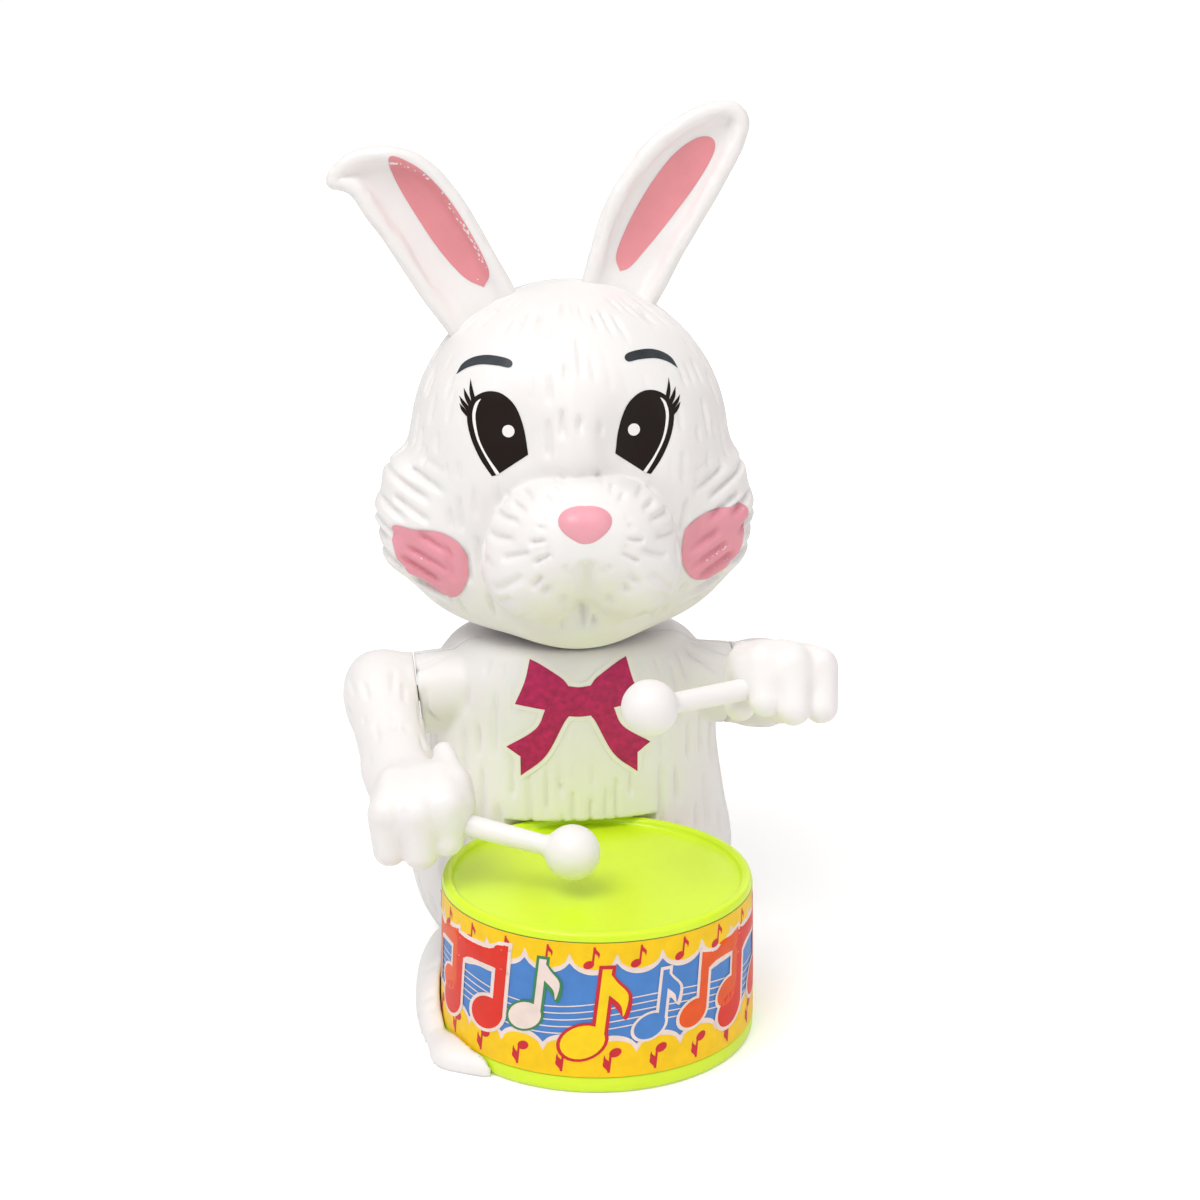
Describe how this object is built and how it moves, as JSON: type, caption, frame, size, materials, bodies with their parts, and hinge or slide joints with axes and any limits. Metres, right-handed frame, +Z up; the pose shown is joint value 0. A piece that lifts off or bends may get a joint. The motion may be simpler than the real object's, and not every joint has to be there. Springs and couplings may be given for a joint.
{
  "type": "clockwork drumming rabbit",
  "caption": "Wind-up plastic rabbit that sits astride a small drum and beats it with two sticks; key at the back, clockwork inside.",
  "frame": {"origin": "on the floor, on the middle plane, under the body, in front of the body's middle by 3.75 mm", "axes": "+Z up, -Y the way the toy faces, +X the toy's own left side"},
  "size_m": [0.0686, 0.0902, 0.1253],
  "materials": {
    "white_plastic": "satin moulded white",
    "lime_plastic": "glossy moulded lime green",
    "label_print": "printed and varnished",
    "bow_print": "printed sticker",
    "screw_steel": "zinc plated",
    "plate_steel": "stamped",
    "arbor_steel": "turned",
    "spring_steel": "blued strip",
    "wheel_brass": "stamped",
    "inner_plastic": "moulded acetal"
  },
  "bodies": {
    "shell": {"body_front_shell": "white_plastic", "body_rear_shell": "white_plastic", "head_front_shell": "white_plastic", "head_rear_shell": "white_plastic", "ear_right": "white_plastic", "ear_left": "white_plastic", "base_cover": "white_plastic", "foot_right": "white_plastic", "foot_left": "white_plastic", "bow_sticker": "bow_print", "drum_shell": "lime_plastic", "drum_label": "label_print", "base_screws": "screw_steel", "foot_screws": "screw_steel", "drum_screws": "screw_steel", "shell_screws": "screw_steel", "head_screws": "screw_steel", "plate_screws": "screw_steel", "movement_screws": "screw_steel", "front_plate": "plate_steel", "rear_plate": "plate_steel", "plate_pillars": "plate_steel", "mainspring": "spring_steel", "rocker_stud": "arbor_steel", "rocker_clip": "plate_steel", "shoulder_bush_right": "inner_plastic", "shoulder_bush_left": "inner_plastic"},
    "winder": {"winding_key": "white_plastic", "winding_arbor": "arbor_steel", "great_wheel": "wheel_brass"},
    "second_stage": {"second_arbor": "arbor_steel", "second_pinion": "arbor_steel", "second_wheel": "wheel_brass"},
    "crank": {"crank_arbor": "arbor_steel", "third_pinion": "arbor_steel", "third_wheel": "wheel_brass", "crank_disc": "inner_plastic", "crank_pin": "arbor_steel"},
    "governor": {"governor_arbor": "arbor_steel", "governor_pinion": "arbor_steel", "governor_rotor": "inner_plastic"},
    "rocker_plate": {"rocker": "inner_plastic"},
    "right_arm": {"arm_right": "white_plastic", "drumstick_right": "white_plastic", "shoulder_shaft_right": "arbor_steel", "drive_finger_right": "inner_plastic"},
    "left_arm": {"arm_left": "white_plastic", "drumstick_left": "white_plastic", "shoulder_shaft_left": "arbor_steel", "drive_finger_left": "inner_plastic"}
  },
  "joints": [
    {"name": "winder_spin", "type": "hinge", "parent": "shell", "child": "winder", "pos_m": [0, 0, 0.0165], "axis": [0, 1, 0], "continuous": true},
    {"name": "second_spin", "type": "hinge", "parent": "shell", "child": "second_stage", "pos_m": [-0.00935, 0, 0.02745], "axis": [0, 1, 0], "continuous": true},
    {"name": "crank_spin", "type": "hinge", "parent": "shell", "child": "crank", "pos_m": [0, 0, 0.031], "axis": [0, 1, 0], "continuous": true},
    {"name": "governor_spin", "type": "hinge", "parent": "shell", "child": "governor", "pos_m": [0.00737, 0, 0.03616], "axis": [0, 1, 0], "continuous": true},
    {"name": "right_arm_beat", "type": "hinge", "parent": "shell", "child": "right_arm", "pos_m": [-0.028, 0, 0.0395], "axis": [-0.9954, 0, -0.0958], "range_deg": [-3.2, 35.8]},
    {"name": "left_arm_beat", "type": "hinge", "parent": "shell", "child": "left_arm", "pos_m": [0.028, 0, 0.0395], "axis": [-0.9954, 0, 0.0958], "range_deg": [-35.8, 3.2]},
    {"name": "rocker_rock", "type": "hinge", "parent": "shell", "child": "rocker_plate", "pos_m": [0, -0.0064, 0.0412], "axis": [0, 1, 0], "range_deg": [-2.14, 23.71]}
  ],
  "couplings": [
    {"joint": "second_spin", "follows": "winder_spin", "ratio": -3.8},
    {"joint": "crank_spin", "follows": "winder_spin", "ratio": 11.4},
    {"joint": "governor_spin", "follows": "winder_spin", "ratio": -39.9},
    {"joint": "left_arm_beat", "follows": "right_arm_beat", "ratio": -1},
    {"joint": "rocker_rock", "follows": "right_arm_beat", "ratio": 0.66175}
  ]
}
